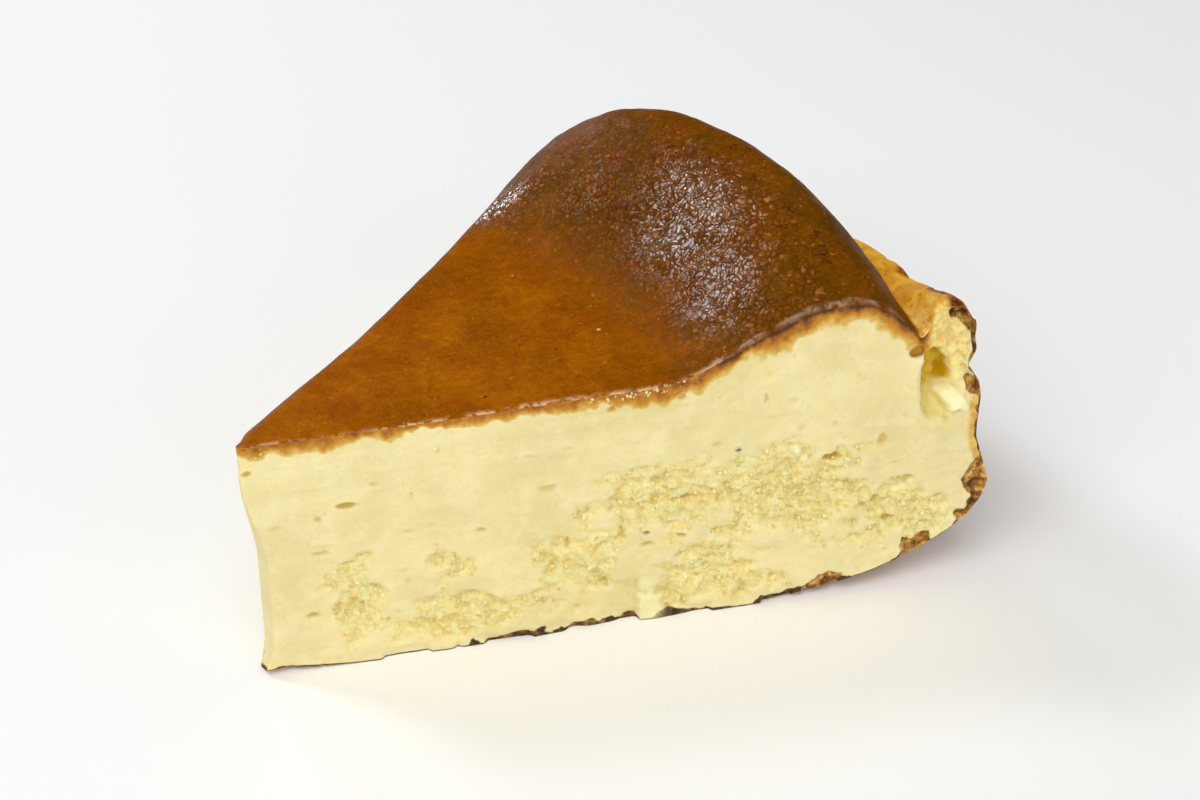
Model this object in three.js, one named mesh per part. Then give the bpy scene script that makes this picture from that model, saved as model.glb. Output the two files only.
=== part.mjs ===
// A wedge of burnt-top baked cheesecake, cut from a round cake that was baked in a paper-lined tin.
// Millimetres, +Z up. The tip points along -X and the rim along +X. The origin is the middle of the
// underside of the wedge's bounding box. The whole wedge is one closed solid: its sunken middle, the
// swollen ring near the rim, the thin lip that stuck to the paper, the pleats that the paper pressed
// into the side, and the pocket and crags that the knife left in the two cut faces.
import * as THREE from "three";

// Driving dimensions.
const RIM_RADIUS = 100; // from the cake's centre to the top edge of its side
const WEDGE_DEG = 50; // angle between the two cuts
const TIP_HEIGHT = 37.4; // height of the sunken middle
const FOOT_RADIUS = 0.68 * RIM_RADIUS; // where the flat underside ends and the rounded foot begins
const BELLY_RADIUS = 1.017 * RIM_RADIUS; // widest place of the side
const BELLY_HEIGHT = 0.16 * RIM_RADIUS; // height of that place
const EDGE_RADIUS = 0.98 * RIM_RADIUS; // outermost place of the top
const HUMP_RISE = { near: 9.0, far: 2.0, dome: 11.1 }; // swollen ring above the sunken middle
const HUMP_PEAK = 0.65; // where the ring is highest, as a share of the way from the near cut to the far one
const HUMP_START = 0.55; // shares of the radius: the ring's inner foot, its crest and its outer foot
const HUMP_CREST = 0.815;
const HUMP_END = 0.94;
const GROOVE = 0.92; // the groove between the ring and the lip
const LIP_HEIGHT = { near: 44.9, rest: 40.7, drop: 4.2 }; // the lip's crest, and how far it sinks later on
const TIP_BLUNT = 0.6; // how far the tip edge is worn back at its sharpest
const TIP_WEAR = 2.5; // how much further it is worn back at its hollow
const TIP_LIFT = 0.9; // how far the underside rises at the tip
const FAR_BOW = 1.0; // how far the far cut bows out near the tip

const PLEAT_COUNT = 8; // creases in the side
// The open pocket between the cake and its lip: its middle, its half sizes, its depth and its lean.
const POCKET = { along: 93.6, height: 32.6, long: 3.1, tall: 6.6, depth: 3.2, lean: 0.07 };

// Steps of the mesh.
const ALONG = 54; // from the tip to the rim
const ACROSS = 38; // round the side
const UP = 24; // from the underside to the top
const TIP_STEPS = 2; // across the blunt tip
const FLAT_STEPS = 2; // across the flat part of the underside

const WEDGE = THREE.MathUtils.degToRad(WEDGE_DEG);
const { lerp, clamp } = THREE.MathUtils;
const smooth = (from, to, x) => THREE.MathUtils.smoothstep(x, from, to);

// 1 at the centre, 0 from one half-width away, with no corner between.
const bell = (x, centre, half) => (1 - Math.min(1, ((x - centre) / half) ** 2)) ** 2;

// 1 on the line, falling away with a sharp crest: the section of a crease in stiff paper.
const crease = (distance, width) => Math.exp((-1.5 * Math.abs(distance)) / width);

// A repeatable number from 0 to 1 for a whole-numbered place.
function chance(x, y, z, seed) {
  const place = Math.imul(x, 374761393) + Math.imul(y, 668265263) + Math.imul(z, 1274126177);
  let h = (place + Math.imul(seed, 362437)) | 0;
  h = Math.imul(h ^ (h >>> 13), 1274126177);
  h = Math.imul(h ^ (h >>> 15), 2246822519);
  return ((h ^ (h >>> 16)) >>> 0) / 4294967296;
}

// Smooth noise from -1 to 1, with lumps about one unit wide.
function noise(x, y, z, seed) {
  const low = [x, y, z].map(Math.floor);
  const ease = [x, y, z].map((c, i) => (c - low[i]) ** 2 * (3 - 2 * (c - low[i])));
  let sum = 0;
  for (let corner = 0; corner < 8; corner++) {
    const bits = [corner & 1, (corner >> 1) & 1, corner >> 2];
    const weight = bits.reduce((w, bit, i) => w * (bit ? ease[i] : 1 - ease[i]), 1);
    sum += weight * chance(...low.map((c, i) => c + bits[i]), seed);
  }
  return 2 * sum - 1;
}

// Height of the lip that stuck to the paper, `turn` being 0 at the near cut and 1 at the far one.
function lipHeight(turn) {
  const nearEnd = 1 - smooth(0, 0.2, turn);
  const sag = LIP_HEIGHT.drop * smooth(0.22, 0.65, turn);
  return lerp(LIP_HEIGHT.rest, LIP_HEIGHT.near, nearEnd) - sag + 0.7 * Math.sin(14 * turn);
}

// Height of the swollen ring's crest above the sunken middle. The knife drags it down at both cuts.
function humpRise(turn) {
  const away = turn < HUMP_PEAK ? 1 - turn / HUMP_PEAK : (turn - HUMP_PEAK) / (1 - HUMP_PEAK);
  return lerp(HUMP_RISE.near, HUMP_RISE.far, turn) + HUMP_RISE.dome * (1 - away ** 2.1);
}

// Height of the top at a share `out` of the radius.
function topHeight(out, turn) {
  const middle = TIP_HEIGHT + 0.9 * smooth(0.1, 0.6, out) - 0.7 * turn * bell(out, 0.35, 0.35);
  const inner = smooth(HUMP_START, HUMP_CREST, out);
  const outer = 1 - (Math.max(0, out - HUMP_CREST - 0.01) / (HUMP_END - HUMP_CREST - 0.01)) ** 2;
  const ring = middle + humpRise(turn) * Math.max(-0.1, Math.min(inner, outer));
  const roll = 3.4 * smooth(0.972, 1, out) ** 1.5;
  return lerp(ring, lipHeight(turn) - roll, smooth(GROOVE, 0.948, out));
}

// The rounded foot of the side, from the flat underside to its steepest place.
const FOOT = new THREE.CubicBezierCurve(
  new THREE.Vector2(FOOT_RADIUS, 0),
  new THREE.Vector2(0.84 * RIM_RADIUS, 0.8),
  new THREE.Vector2(1.015 * RIM_RADIUS, 6),
  new THREE.Vector2(BELLY_RADIUS, BELLY_HEIGHT),
);
const FOOT_SPLIT = 0.7; // the share of the foot that belongs to the underside
const FLAT_SHARE = 0.58; // the share of the steps along the underside that are flat

// The underside's outline in a radial section, from the tip to the foot.
function undersideAt(share) {
  if (share > FLAT_SHARE) return FOOT.getPoint((FOOT_SPLIT * (share - FLAT_SHARE)) / (1 - FLAT_SHARE));
  const radius = lerp(tipRadius(TIP_LIFT), FOOT_RADIUS, share / FLAT_SHARE);
  return new THREE.Vector2(radius, TIP_LIFT * (1 - smooth(0, 0.12, share)));
}

// How far the tip edge stands from the cake's centre.
function tipRadius(height) {
  return TIP_BLUNT + TIP_WEAR * smooth(-3, 6, height) * (1 - smooth(18, 32, height));
}

// The tip edge's outline in a radial section, from the underside to the top.
function tipAt(share) {
  const height = lerp(TIP_LIFT, topHeight(0, 0.5), share);
  return new THREE.Vector2(tipRadius(height), height);
}

// The top's outline in a radial section, from the tip to the rim.
function topAt(share, turn) {
  return new THREE.Vector2(lerp(tipRadius(TIP_HEIGHT), EDGE_RADIUS, share), topHeight(share, turn));
}

// The side's outline in a radial section, from the foot to the edge of the top.
function sideAt(share, turn) {
  const footShare = 0.2;
  if (share <= footShare) return FOOT.getPoint(lerp(FOOT_SPLIT, 1, share / footShare));
  const climb = (share - footShare) / (1 - footShare);
  const top = topHeight(1, turn);
  return new THREE.Vector2(lerp(BELLY_RADIUS, EDGE_RADIUS, climb), lerp(BELLY_HEIGHT, top, climb));
}

// A point of a radial section, blended between its four outlines: (radius, height).
function sectionAt(out, up, turn) {
  const corners = [tipAt(0), tipAt(1), sideAt(0, turn), sideAt(1, turn)];
  const point = new THREE.Vector2();
  const add = (vector, weight) => point.addScaledVector(vector, weight);
  add(undersideAt(out), 1 - up);
  add(topAt(out, turn), up);
  add(tipAt(up), 1 - out);
  add(sideAt(up, turn), out);
  add(corners[0], -(1 - out) * (1 - up));
  add(corners[1], -(1 - out) * up);
  add(corners[2], -out * (1 - up));
  add(corners[3], -out * up);
  return point;
}

// Creases that the lining paper pressed into the side: where each stands round the rim, and how deep
// and wide it is.
const PLEATS = Array.from({ length: PLEAT_COUNT }, (_, i) => ({
  turn: Math.round((ACROSS * (i + 0.3 + 0.5 * chance(i, 0, 0, 11))) / PLEAT_COUNT) / ACROSS,
  depth: 1.6 + 2.6 * chance(i, 2, 0, 11),
  width: 0.025 + 0.02 * chance(i, 3, 0, 11),
}));

// How far the upright creases go in. They are deepest below the lip.
function pleatDepth(turn, height) {
  const depths = PLEATS.map((pleat) => pleat.depth * crease(turn - pleat.turn, pleat.width));
  const deepest = depths.reduce((sum, depth) => sum + depth, 0);
  return deepest * smooth(3, 16, height) * lerp(1, 0.3, smooth(24, 40, height));
}

// How far the side stands out from its plain round form: creases, two level folds and slow swells.
function pleatRelief(turn, height) {
  const lowerHalf = lerp(8, 3.5, smooth(0.02, 0.15, turn));
  const folds = 1.3 * bell(height, 35 + 4 * turn, 3) + 1.2 * bell(height, 23 - 6 * turn, lowerHalf);
  const swell = 0.7 * noise(turn * 14, height / 7, 0, 21);
  return 0.5 - pleatDepth(turn, height) - folds * (0.4 + 0.6 * bell(turn, 0, 0.2)) + swell;
}

// How far round the rim the creases wander from upright at a height. They stay put at both cuts.
function pleatWander(turn, height) {
  return 0.05 * noise(turn * 3.5, height / 15, 0, 22) * (1 - (2 * turn - 1) ** 4);
}

// How deep the pocket's hollow and the torn flesh outside it lie behind the near cut.
function pocketDepth(along, height) {
  const middle = POCKET.along + POCKET.lean * (34 - height);
  const inside = 1 - Math.hypot((along - middle) / POCKET.long, (height - POCKET.height) / POCKET.tall);
  const ragged = 0.8 + 0.7 * noise(along / 3, height / 3, 3, 34);
  return POCKET.depth * smooth(0, 0.8, inside) + ragged * bell(along, 97, 4.5) * smooth(27, 31, height);
}

// How deep a cut face lies behind its plane, `along` being the distance from the tip.
function cutRelief(isNear, along, height) {
  const side = isNear ? 0 : 50;
  const coarse = noise(along / 5, height / 4, side, 31);
  const middling = noise(along / 2.6, height / 2.2, side, 32);
  const torn = smooth(-0.25, 0.35, noise(along / 17, height / 11, side, 33) + 0.5 - height / 36);
  const depth = 0.25 + (0.3 * coarse + 0.22 * middling) * (0.25 + 0.75 * torn);
  return isNear ? depth + pocketDepth(along, height) : depth - FAR_BOW * bell(along, 6, 28);
}

// How far the baked top stands out from its plain form: blisters on the swollen ring.
function topRelief(x, y) {
  const away = Math.hypot(x, y) / RIM_RADIUS;
  const blisters = 0.3 * noise(x / 5.5, y / 5.5, 0, 41) + 0.2 * noise(x / 2.8, y / 2.8, 0, 42);
  return blisters * lerp(0.3, 1, smooth(0.5, 0.7, away));
}

// A point of the solid. `out` runs from tip to rim, `turn` from the near cut to the far one and `up`
// from the underside to the top. Each relief fades with the distance from its own face.
function place(out, turn, up) {
  const section = sectionAt(out, up, turn);
  const fade = (distance, reach) => Math.exp(-((distance / reach) ** 2));
  const below = topHeight(out, turn) - section.y;
  const nearSide = fade(sideAt(up, turn).x - section.x, 7) * smooth(0.7, 0.95, out);
  const angle = (turn + pleatWander(turn, section.y) * nearSide - 0.5) * WEDGE;
  const radius = section.x + pleatRelief(turn, section.y) * nearSide;
  const point = new THREE.Vector3(radius * Math.cos(angle), radius * Math.sin(angle), section.y);
  point.x -= 0.1 * (1 - (2 * turn - 1) ** 2) * section.x * fade(section.x, 4);
  point.z += topRelief(point.x, point.y) * fade(below, 3) * smooth(0, 0.03, out);
  for (const isNear of [true, false]) {
    const way = isNear ? 1 : -1;
    const distance = radius * Math.sin(isNear ? angle + WEDGE / 2 : WEDGE / 2 - angle);
    const wide = smooth(0, 0.04, out) * smooth(0, 1.2, section.y);
    const depth = cutRelief(isNear, radius, section.y) * fade(distance, 2.5) * wide;
    point.x += depth * Math.sin(WEDGE / 2);
    point.y += way * depth * Math.cos(WEDGE / 2);
  }
  return point;
}

// Triangles between two rows of points, which may hold different numbers of them.
function stitch(triangles, lower, upper) {
  let i = 0;
  let j = 0;
  while (i < lower.length - 1 || j < upper.length - 1) {
    const nextLower = (i + 1) / (lower.length - 1);
    const nextUpper = (j + 1) / (upper.length - 1);
    const takeLower = j === upper.length - 1 || (i < lower.length - 1 && nextLower <= nextUpper);
    triangles.push(lower[i], takeLower ? lower[i + 1] : upper[j + 1], upper[j]);
    if (takeLower) i++;
    else j++;
  }
}

// A sheet of triangles over rows of points. `outward` is false where the rows run the other way round.
function sheet(rows, outward) {
  const triangles = [];
  for (let k = 0; k + 1 < rows.length; k++) stitch(triangles, rows[k], rows[k + 1]);
  if (outward) return triangles;
  for (let k = 0; k < triangles.length; k += 3) {
    [triangles[k + 1], triangles[k + 2]] = [triangles[k + 2], triangles[k + 1]];
  }
  return triangles;
}

const range = (steps) => Array.from({ length: steps + 1 }, (_, i) => i / steps);

// Steps are closer towards the rim and the top, where the groove, the lip and the pocket are.
const closing = (share) => share + 0.13 * share * Math.sin(Math.PI * share);
const OUTS = range(ALONG).map(closing);
const UPS = range(UP).map(closing);

// One point for each place of the three-way grid, so that neighbouring faces share theirs.
const points = new Map();
function at(out, turn, up) {
  const key = [out, turn, up].map((c) => clamp(c, 0, 1).toFixed(6)).join();
  if (!points.has(key)) points.set(key, place(out, turn, up));
  return points.get(key);
}

function wedgeGeometry() {
  const stepsAcross = (out) => Math.max(TIP_STEPS, Math.round(ACROSS * out));
  const underSteps = (out) => {
    if (out >= 1) return ACROSS;
    return out > 0 && out <= FLAT_SHARE ? FLAT_STEPS : stepsAcross(out);
  };
  const topRows = OUTS.map((out) => range(stepsAcross(out)).map((turn) => at(out, turn, 1)));
  const underRows = OUTS.map((out) => range(underSteps(out)).map((turn) => at(out, turn, 0)));
  const sideRows = UPS.map((up) => range(ACROSS).map((turn) => at(1, turn, up)));
  const tipRows = UPS.map((up) => range(TIP_STEPS).map((turn) => at(0, turn, up)));
  const nearRows = UPS.map((up) => OUTS.map((out) => at(out, 0, up)));
  const farRows = UPS.map((up) => OUTS.map((out) => at(out, 1, up)));
  const corners = [
    ...sheet(topRows, false),
    ...sheet(underRows, true),
    ...sheet(sideRows, true),
    ...sheet(tipRows, false),
    ...sheet(nearRows, true),
    ...sheet(farRows, false),
  ];
  const order = new Map([...new Set(corners)].map((point, i) => [point, i]));
  const geometry = new THREE.BufferGeometry().setFromPoints([...order.keys()]);
  geometry.setIndex(corners.map((point) => order.get(point)));
  geometry.computeBoundingBox();
  const box = geometry.boundingBox;
  const middle = box.getCenter(new THREE.Vector3());
  geometry.translate(-middle.x, -middle.y, -box.min.z);
  geometry.computeVertexNormals();
  return geometry;
}

const slice = new THREE.Mesh(
  wedgeGeometry(),
  new THREE.MeshStandardMaterial({ color: 0xe8d69a, roughness: 0.6, metalness: 0 }),
);
slice.name = "cheesecake_slice";

const cheesecake = new THREE.Group();
cheesecake.add(slice);

export default cheesecake;
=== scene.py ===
"""The looks of a wedge of burnt-top baked cheesecake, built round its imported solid.

The wedge is one closed fine mesh of the same form as the solid, in millimetres from the cake's centre,
with the blisters, pores and torn curd that the solid is too coarse for. Numbers kept at its vertices say
how browned, torn or hollow each place is, and three materials colour it from them.
"""
import math
from types import SimpleNamespace

import bmesh
import bpy
import numpy as np
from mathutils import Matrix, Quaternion, Vector


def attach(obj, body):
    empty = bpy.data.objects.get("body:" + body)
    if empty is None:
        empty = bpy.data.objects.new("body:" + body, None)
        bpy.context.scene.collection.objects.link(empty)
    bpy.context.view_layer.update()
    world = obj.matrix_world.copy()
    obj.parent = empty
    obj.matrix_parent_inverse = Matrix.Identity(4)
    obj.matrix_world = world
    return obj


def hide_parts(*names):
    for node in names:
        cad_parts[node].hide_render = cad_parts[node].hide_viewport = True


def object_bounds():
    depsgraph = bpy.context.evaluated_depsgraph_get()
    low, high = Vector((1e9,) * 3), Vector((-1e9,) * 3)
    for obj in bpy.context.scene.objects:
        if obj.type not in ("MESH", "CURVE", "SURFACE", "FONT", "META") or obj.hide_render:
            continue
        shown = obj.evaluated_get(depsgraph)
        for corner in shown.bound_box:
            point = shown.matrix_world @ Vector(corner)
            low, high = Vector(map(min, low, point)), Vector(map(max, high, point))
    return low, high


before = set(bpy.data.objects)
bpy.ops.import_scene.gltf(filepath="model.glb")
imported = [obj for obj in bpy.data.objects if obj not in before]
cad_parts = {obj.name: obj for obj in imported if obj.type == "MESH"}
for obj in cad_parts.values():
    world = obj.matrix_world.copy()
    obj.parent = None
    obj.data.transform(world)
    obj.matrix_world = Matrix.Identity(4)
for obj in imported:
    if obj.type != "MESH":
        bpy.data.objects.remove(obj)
CAD_LOW, CAD_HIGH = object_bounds()

MM = 0.001
LENGTH = (CAD_HIGH.x - CAD_LOW.x) / MM
HEIGHT = (CAD_HIGH.z - CAD_LOW.z) / MM

# ---- sizes of the form, in millimetres
RIM_RADIUS = 0.98195 * LENGTH  # from the cake's centre to the top edge of its side
WEDGE = math.radians(50)  # between the two cuts
TIP_HEIGHT = 0.6858 * HEIGHT  # of the sunken middle
FOOT_RADIUS = 0.68 * RIM_RADIUS  # where the rounded foot begins
BELLY_RADIUS = 1.017 * RIM_RADIUS  # widest place of the side
BELLY_HEIGHT = 0.16 * RIM_RADIUS
EDGE_RADIUS = 0.98 * RIM_RADIUS  # outermost place of the top
FOOT_HANDLES = ((0.84 * RIM_RADIUS, 0.8), (1.015 * RIM_RADIUS, 6.0))
FOOT_SPLIT = 0.7  # the share of the foot that belongs to the underside
FLAT_SHARE = 0.58  # the share of the steps along the underside that are flat
HUMP_NEAR, HUMP_FAR, HUMP_DOME = 9.0, 2.0, 11.1  # how far the swollen ring rises
HUMP_PEAK = 0.65  # where it is highest, as a share of the way to the far cut
HUMP_START, HUMP_CREST, HUMP_END = 0.55, 0.815, 0.94  # shares of the radius
GROOVE = 0.92  # between the ring and the lip
LIP_NEAR, LIP_REST, LIP_DROP = 44.9, 40.7, 4.2  # the lip's crest, and how far it sinks later on
TIP_BLUNT, TIP_WEAR, TIP_LIFT = 0.6, 2.5, 0.9  # how the tip edge is worn back, and its lift
FAR_BOW = 1.0  # how far the far cut bows out near the tip
PLEAT_COUNT, PLEAT_STEPS = 8, 38  # creases in the side, and the steps that they are placed by
POCKET_MIDDLE, POCKET_HALF, POCKET_DEPTH = (93.6, 32.6), (3.1, 6.6), 3.2
POCKET_LEAN, POCKET_PIVOT = 0.07, 34  # how far it leans outwards below this height
TOP_SWELL = 0.4  # height of the skin's broad swellings
EDGE_WEAR = 0.32  # how far the skin's edges are worn down at both cuts

# ---- steps of the fine mesh
ALONG = 300
ACROSS = 120
UP_NEAR = 140
UP_FAR = 48
UNDER_ACROSS = 60
TIP_ACROSS = 6

# ---- loose crumbs
# In the order near cut, far cut, worn edge of the skin: how many, the side they face and their scale.
CRUMB_COUNTS = (620, 160, 45)
CRUMB_SIDES = (-1, 1, -1)
CRUMB_SCALES = (1, 1, 0.6)
CRUMB_RADII = (0.09, 0.38)
CRUMB_STAND = 0.3  # how far a crumb's middle stands out, as a share of its radius

# ---- blisters of the skin, in millimetres
PEBBLE = 0.8
BEAD = 1.5

# ---- marks of the near cut, seen from the front
# All are in millimetres: the distance from the cake's centre, then the height over the floor.
# Each pore is (distance, height, half its length, half its height, strength).
PORES = (
    (13.7, 25.9, 1.4, 0.55, 1), (10, 24.4, 0.8, 0.6, 0.6), (4.2, 23.9, 0.9, 0.5, 0.4),
    (9.8, 18.9, 1.4, 0.4, 0.6), (13.6, 16.6, 1.3, 0.4, 0.5), (21.6, 20.5, 1.2, 0.3, 0.4),
    (8.4, 9, 1.3, 0.6, 0.7), (31.3, 19, 1.1, 0.5, 0.6), (40.5, 24.3, 1.4, 0.7, 0.5),
    (43, 14.8, 0.4, 1.2, 0.7), (55.1, 23, 1.1, 0.8, 0.5), (64.9, 21, 0.9, 1, 0.5),
    (59, 19.4, 1.9, 0.35, 0.7), (58.7, 13.6, 0.8, 0.3, 0.8), (53.9, 12.9, 1.3, 0.35, 0.6),
    (79.4, 23, 1.4, 0.5, 1), (86.5, 24.9, 0.85, 1.3, 0.6), (79.6, 28.5, 0.5, 0.7, 0.4),
    (85.9, 14.9, 0.6, 0.8, 0.7), (88.1, 11.3, 1.3, 0.45, 0.8), (69.9, 34, 0.3, 0.9, 0.7),
    (49, 35.6, 0.7, 0.6, 0.9), (58.4, 36, 0.8, 0.7, 0.9), (1.3, 33.2, 0.8, 0.5, 1),
)
# The faint ones: how many, and the ends of their distances, heights, half lengths, flatness and strengths.
SMALL_PORES = 46
SMALL_PORE_ENDS = ((6, 92), (4, 31), (0.35, 0.95), (0.25, 0.6), (0.15, 0.45))
# Each torn place is (distance, height, half its length, half its height).
TORN_PLACES = (
    (60, 20, 13, 8), (74, 18, 14, 9.5), (62, 7, 11, 8), (44.5, 12, 9, 8),
    (14.5, 11, 4.5, 8), (28, 5.5, 13, 5), (27, 14, 5, 3), (89, 13, 9, 7.5),
)
# Closed outlines of what is not curd, each a list of (distance, height).
POCKET_OUTLINE = (
    (92, 37.9), (93.9, 38), (94.7, 36), (95.9, 33.9), (96, 31.6), (94.2, 30.6),
    (95.2, 28.5), (95.6, 26.4), (92.8, 27.3), (91.7, 29.1), (92.3, 32.5), (91.9, 35.1),
)
BRIGHT_OUTLINES = (
    ((94.2, 30), (96.4, 30.8), (98.3, 29.6), (98.4, 28), (96.4, 27.7), (95.2, 28.8)),
    ((73.6, 25.1), (74.5, 25.5), (75.5, 24.9), (74.8, 24.3)),
)
CRUST_OUTLINES = (
    ((98.6, 16.7), (99.5, 18.9), (101, 20.3), (103, 16), (103, 12.5), (100.9, 9.5), (99.4, 9.1),
     (98.2, 9.6), (97.6, 10.7), (99.2, 11.5), (99.9, 13.1), (98.9, 15)),
    ((90, 7.9), (91.4, 7), (92.5, 7.8), (94.1, 7.9), (94.3, 6.6), (92.2, 4.6), (90, 4.4), (90.5, 6.4)),
    ((76.4, 1.5), (78.1, 3.1), (79.7, 3.8), (81.8, 2.9), (80.8, 1), (76.6, 0.2)),
    ((94.6, 45.6), (99, 45.6), (99.4, 39.6), (98.1, 39.9), (97.2, 41.1), (95.3, 42.5)),
    ((98.2, 32.2), (100.2, 32.5), (100.2, 29.8), (98.6, 30.2)),
)
# The dark crust's thickness: along the foot by distance, and up the wall by height.
FOOT_CRUST = (
    (0, 0.1), (2.6, 0.1), (3.6, 0.7), (4.6, 0.1), (18.8, 0.1), (19.6, 0.5), (20.6, 0.1), (28.7, 0.12),
    (29.7, 0.8), (30.8, 0.15), (33.5, 0.5), (38, 1), (43.5, 0.5), (47.5, 1), (50, 0.5), (52.4, 1.1),
    (53.2, 0.25), (56.6, 0.7), (61.5, 0.35), (69, 0.45), (71, 1.4), (74, 0.8), (78, 1), (82, 0.5),
    (86, 0.12), (89, 0.3), (95, 0.5), (98, 0.8),
)
WALL_CRUST = (
    (6, 0.5), (12, 1.2), (18, 1), (20, 0.3), (29, 0.25), (31, 0.8), (33, 0.35), (40, 0.4), (45, 0.7),
)
CURD_SPECKS = ((53.8, 14.9), (66.3, 26.4))
OPEN_HOLE = (90.5, 38.2, 0.95)
# The amber stain round the hole: its middle, then half its length and half its height.
STAIN = (91.6, 39.2, 3.6, 2.6)
# How deep the hollows lie, and how far the pale broken bits stand out.
LEDGE_DEPTH, POCKET_FLOOR, HOLE_DEPTH, BRIGHT_RISE = 1.1, 1.1, 0.8, 0.8
# Where a flake broke away over the foot: the distances of its ends, and the heights of its fading top.
LEDGE_START, LEDGE_END, LEDGE_TOP = 36.8, 52.8, (8, 6)
# Each pair says where something begins to show, then where it shows in full.
FIN_START, FIN_END = (91.5, 93), (98.5, 97.5)  # distances of the torn wall round the pocket
GOLDEN_START, GOLDEN_END = (18, 21), (31, 29)  # heights of the golden part of the side's edge
ROLLED_START, ROLLED_END, ROLLED_HEIGHT = (61, 67), (92, 86), 0.3  # the skin's edge that curls up
# The second pair also says where the painted highlight on the near edge turns grey and moves in from the
# edge.
BAND_DARKENS, HIGHLIGHT_GREYS = (56, 70), (60, 70)  # distances where the swollen ring begins

# ---- marks of the skin
# The wettest-looking places: shares of the way out and of the way across, then a reach and a strength.
GLOSSY_PLACES = ((0.73, 0.4, 9.5, 1), (0.68, 0.2, 8, 0.7), (0.69, 0.72, 6, 0.3), (0.65, 0.98, 5.5, 1))
RING_LENGTH = 60  # from cut to cut, where the gloss is
LEAST_GLOSS = 0.06
# By distance: strength and width of the painted highlight line on the near edge, and thickness of the band
# under it.
HIGHLIGHT_LINE = (
    (0, 0.3), (6, 0.6), (12, 0.2), (17, 0.3), (22, 0.9), (36, 0.8), (44, 0.9), (56, 0.9), (58, 0.2),
    (62, 0.8), (76, 0.8), (77, 0.3), (78, 0.9), (83, 0.9), (87, 0.4), (91, 0),
)
HIGHLIGHT_WIDTH = ((0, 0.24), (22, 0.34), (44, 0.4), (60, 0.24), (70, 0.22), (78, 0.3), (84, 0.32), (90, 0.2))
BROWN_BAND = ((0, 2.2), (9, 2.1), (20, 2.2), (40, 2.3), (56, 2.6), (66, 3.2), (74, 4.4), (84, 4), (90, 5))

# ---- camera, floor and light
CAMERA_PLACE = Vector((-180.8, -238.65, 224.33))  # in millimetres in the row frame
CAMERA_HEADING = 51.773  # in degrees from +X towards +Y
CAMERA_DROP = 33.871  # in degrees below the horizon
FOCAL_PIXELS = 2600
IMAGE_WIDTH = 1200
SENSOR_WIDTH = 36
FLOOR_HALF = 4.0  # in metres
WHITE = (1, 1, 1)
# Each lamp is (name, azimuth, elevation, distance, size, power, colour), in degrees, metres and watts.
LAMPS = (
    ("left_light", -150, 52, 1.1, 0.9, 9.2, (1, 0.99, 0.97)),
    ("front_light", -95, 22, 1.3, 1.0, 4.6, WHITE),
    ("side_light", -40, 14, 1.3, 0.9, 2.2, WHITE),
    ("right_light", 5, 50, 1.4, 1.4, 2.8, WHITE),
    ("window_light", 117, 41, 0.9, 0.22, 2.3, (0.88, 0.92, 1.0)),
    ("far_window_light", 79, 15, 0.9, 0.14, 1.6, (0.92, 0.95, 1.0)),
)
ROOM_LIGHT = 0.05


# ==== numbers
def smooth(start, stop, x):
    """0 at start and before it, 1 at stop and beyond. Stop may be the smaller of the two."""
    share = np.clip((x - start) / (stop - start), 0, 1)
    return share * share * (3 - 2 * share)


def lerp(a, b, share):
    return a + (b - a) * share


def bell(x, centre, half):
    return (1 - np.minimum(1, ((x - centre) / half) ** 2)) ** 2


def fade(distance, reach):
    return np.exp(-((distance / reach) ** 2))


def between(table, x):
    """The value at x of a table of (place, value) pairs, on straight lines between them."""
    return np.interp(x, *zip(*table))


def chance(x, y, z, seed):
    """A repeatable number from 0 to 1 for each whole-numbered place."""
    def scaled(values, factor):
        return np.atleast_1d(values).astype(np.int64).astype(np.uint32) * np.uint32(factor)

    h = scaled(x, 374761393) + scaled(y, 668265263) + scaled(z, 1274126177) + scaled(seed, 362437)
    h = (h ^ (h >> 13)) * np.uint32(1274126177)
    h = (h ^ (h >> 15)) * np.uint32(2246822519)
    return (h ^ (h >> 16)) / 4294967296.0


def noise(x, y, z, seed):
    """Smooth noise from -1 to 1, with lumps about one unit wide."""
    place = np.broadcast_arrays(x, y, z)
    low = [np.floor(c) for c in place]
    ease = [(c - f) ** 2 * (3 - 2 * (c - f)) for c, f in zip(place, low)]
    total = 0
    for corner in range(8):
        bits = (corner & 1, corner >> 1 & 1, corner >> 2)
        weight = np.prod([e if bit else 1 - e for e, bit in zip(ease, bits)], axis=0)
        total = total + weight * chance(low[0] + bits[0], low[1] + bits[1], low[2] + bits[2], seed)
    return 2 * total - 1


def lumps(x, y, size, seed):
    """From 0 to 1: rounded lumps with sharp valleys between, whose bottoms are 1."""
    return (1 - np.abs(noise(x / size, y / size, 0, seed))) ** 2


# ==== the form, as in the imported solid
def lip_height(turn):
    near_end = 1 - smooth(0, 0.2, turn)
    return lerp(LIP_REST, LIP_NEAR, near_end) - LIP_DROP * smooth(0.22, 0.65, turn) + 0.7 * np.sin(14 * turn)


def hump_rise(turn):
    away = np.where(turn < HUMP_PEAK, 1 - turn / HUMP_PEAK, (turn - HUMP_PEAK) / (1 - HUMP_PEAK))
    return lerp(HUMP_NEAR, HUMP_FAR, turn) + HUMP_DOME * (1 - away ** 2.1)


def top_height(out, turn):
    middle = TIP_HEIGHT + 0.9 * smooth(0.1, 0.6, out) - 0.7 * turn * bell(out, 0.35, 0.35)
    inner = smooth(HUMP_START, HUMP_CREST, out)
    outer = 1 - (np.maximum(0, out - HUMP_CREST - 0.01) / (HUMP_END - HUMP_CREST - 0.01)) ** 2
    ring = middle + hump_rise(turn) * np.maximum(-0.1, np.minimum(inner, outer))
    roll = 3.4 * smooth(0.972, 1, out) ** 1.5
    return lerp(ring, lip_height(turn) - roll, smooth(GROOVE, 0.948, out))


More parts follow.
